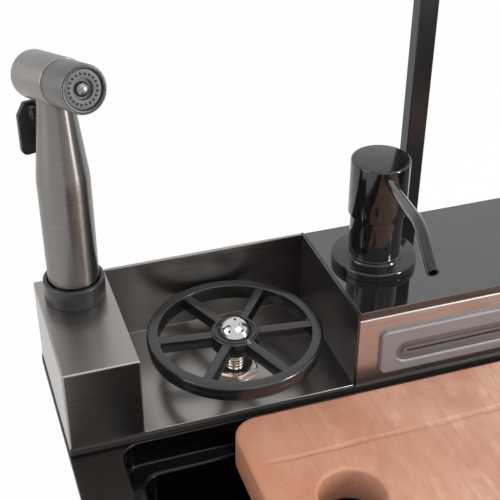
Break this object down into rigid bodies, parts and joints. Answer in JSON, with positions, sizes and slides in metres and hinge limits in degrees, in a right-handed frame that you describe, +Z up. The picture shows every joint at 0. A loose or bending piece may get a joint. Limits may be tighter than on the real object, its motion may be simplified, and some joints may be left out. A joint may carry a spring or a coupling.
{
  "type": "kitchen sink",
  "caption": "Dark steel workstation sink: ledged bowl with a sliding chopping board, and a raised rear platform with spray gun, cup rinser, soap pump, waterfall outlet and slim tap.",
  "frame": {"origin": "middle of the rim's seat, on the worktop's surface", "axes": "+X to the right along the sink's length, +Y to the back, +Z up"},
  "size_m": [0.75, 0.47, 0.6404],
  "materials": {
    "deck_steel": "dark coated, brushed",
    "bowl_black": "black coated, satin gloss",
    "panel_steel": "dark coated, brushed",
    "outlet_steel": "grey coated, satin",
    "gun_metal": "warm grey coated, brushed",
    "spray_face": "satin grey",
    "black_satin": "satin black",
    "black_gloss": "gloss black",
    "wheel_plastic": "charcoal satin",
    "chrome": "polished",
    "nickel": "champagne nickel plated brass",
    "plain_steel": "plain",
    "spring_steel": "drawn wire",
    "black_glass": "opaque black, polished",
    "tap_black": "black coated, satin",
    "rubber": "matt",
    "foam": "soft foam strip",
    "waste_plastic": "light grey",
    "bottle_plastic": "milky white",
    "key_white": "dark gloss",
    "wood": "oiled, fine pores"
  },
  "bodies": {
    "sink": {"deck_frame": "deck_steel", "rim_gasket": "foam", "bowl": "bowl_black", "bowl_floor": "bowl_black", "sound_pads": "rubber", "clip_rails": "plain_steel", "mounting_clips": "plain_steel", "clip_screws": "plain_steel", "platform_base": "deck_steel", "gun_housing": "panel_steel", "rinser_tray": "panel_steel", "console_front": "panel_steel", "console_rear": "panel_steel", "console_sides": "panel_steel", "glass_top": "black_glass", "outlet_plate": "outlet_steel", "waterfall_nozzle": "outlet_steel", "waterfall_box": "waste_plastic", "gun_collar": "black_satin", "rinser_valve": "nickel", "rinser_lock_nut": "nickel", "back_nuts": "nickel", "rinser_spring": "spring_steel", "dispenser_body": "black_gloss", "pump_spring": "spring_steel", "soap_bottle": "bottle_plastic", "dip_tube": "bottle_plastic", "drain_flange": "plain_steel", "drain_gasket": "rubber", "drain_body": "waste_plastic", "tail_pipe": "waste_plastic", "overflow_cover": "plain_steel", "overflow_pipe": "waste_plastic", "tap_base": "tap_black", "tap_column": "tap_black", "mixer_cartridge": "nickel", "key_frame": "black_satin", "key_valve_block": "waste_plastic"},
    "gun": {"gun_body": "gun_metal", "gun_sleeve": "gun_metal", "gun_spray_face": "spray_face", "gun_face_ring": "black_satin", "gun_centre_jet": "black_gloss", "gun_hose_tail": "nickel", "trigger_pin": "plain_steel"},
    "trigger": {"trigger_lever": "black_satin"},
    "plunger": {"trigger_plunger": "plain_steel"},
    "rinser": {"rinser_wheel": "wheel_plastic", "rinser_dome": "chrome"},
    "pump_bush": {"pump_guide": "waste_plastic"},
    "pump_head": {"pump_cap": "black_gloss", "pump_spout": "black_gloss", "pump_stem": "waste_plastic"},
    "basket": {"strainer_basket": "plain_steel"},
    "board": {"chopping_board": "wood"},
    "tap_arm": {"tap_spout": "tap_black", "tap_aerator": "plain_steel"},
    "mixer": {"mixer_knob": "tap_black"},
    "tap_button": {"tap_key": "key_white"},
    "waterfall_button": {"waterfall_key": "key_white"}
  },
  "joints": [
    {"name": "gun_lift", "type": "slide", "parent": "sink", "child": "gun", "axis": [0, 0, 1], "range_m": [0, 0.12]},
    {"name": "trigger_press", "type": "hinge", "parent": "gun", "child": "trigger", "pos_m": [-0.35787, 0.20775, 0.1708], "axis": [-0.9613, -0.2756, 0], "range_deg": [0, 12], "stiffness_Nm_per_rad": 1.2, "springref_deg": -6.88},
    {"name": "plunger_travel", "type": "slide", "parent": "gun", "child": "plunger", "axis": [0.2756, -0.9613, 0], "range_m": [0, 0.0027]},
    {"name": "rinser_press", "type": "slide", "parent": "sink", "child": "rinser", "axis": [0, 0, -1], "range_m": [0, 0.005], "stiffness_N_per_m": 1500, "springref_m": -0.004, "deforming": ["rinser_spring"]},
    {"name": "pump_swivel", "type": "hinge", "parent": "sink", "child": "pump_bush", "pos_m": [-0.1718, 0.1678, 0], "axis": [0, 0, 1], "range_deg": [-170, 125]},
    {"name": "pump_press", "type": "slide", "parent": "pump_bush", "child": "pump_head", "axis": [0, 0, -1], "range_m": [0, 0.015], "stiffness_N_per_m": 400, "springref_m": -0.01, "deforming": ["pump_spring"]},
    {"name": "basket_lift", "type": "slide", "parent": "sink", "child": "basket", "axis": [0, 0, 1], "range_m": [0, 0.1]},
    {"name": "board_slide", "type": "slide", "parent": "sink", "child": "board", "axis": [1, 0, 0], "range_m": [-0.062, 0.33]},
    {"name": "tap_swivel", "type": "hinge", "parent": "sink", "child": "tap_arm", "pos_m": [-0.1267, 0.2155, 0.3], "axis": [0, 0, 1], "range_deg": [-80, 80]},
    {"name": "mixer_turn", "type": "hinge", "parent": "sink", "child": "mixer", "pos_m": [0.2502, 0.163, 0.06], "axis": [0, 0, 1], "range_deg": [-45, 45]},
    {"name": "tap_key_press", "type": "slide", "parent": "sink", "child": "tap_button", "axis": [0, 0, -1], "range_m": [0, 0.003], "stiffness_N_per_m": 800, "springref_m": -0.002},
    {"name": "waterfall_key_press", "type": "slide", "parent": "sink", "child": "waterfall_button", "axis": [0, 0, -1], "range_m": [0, 0.003], "stiffness_N_per_m": 800, "springref_m": -0.002}
  ],
  "couplings": [
    {"joint": "plunger_travel", "follows": "trigger_press", "m_per_rad": 0.0122}
  ]
}
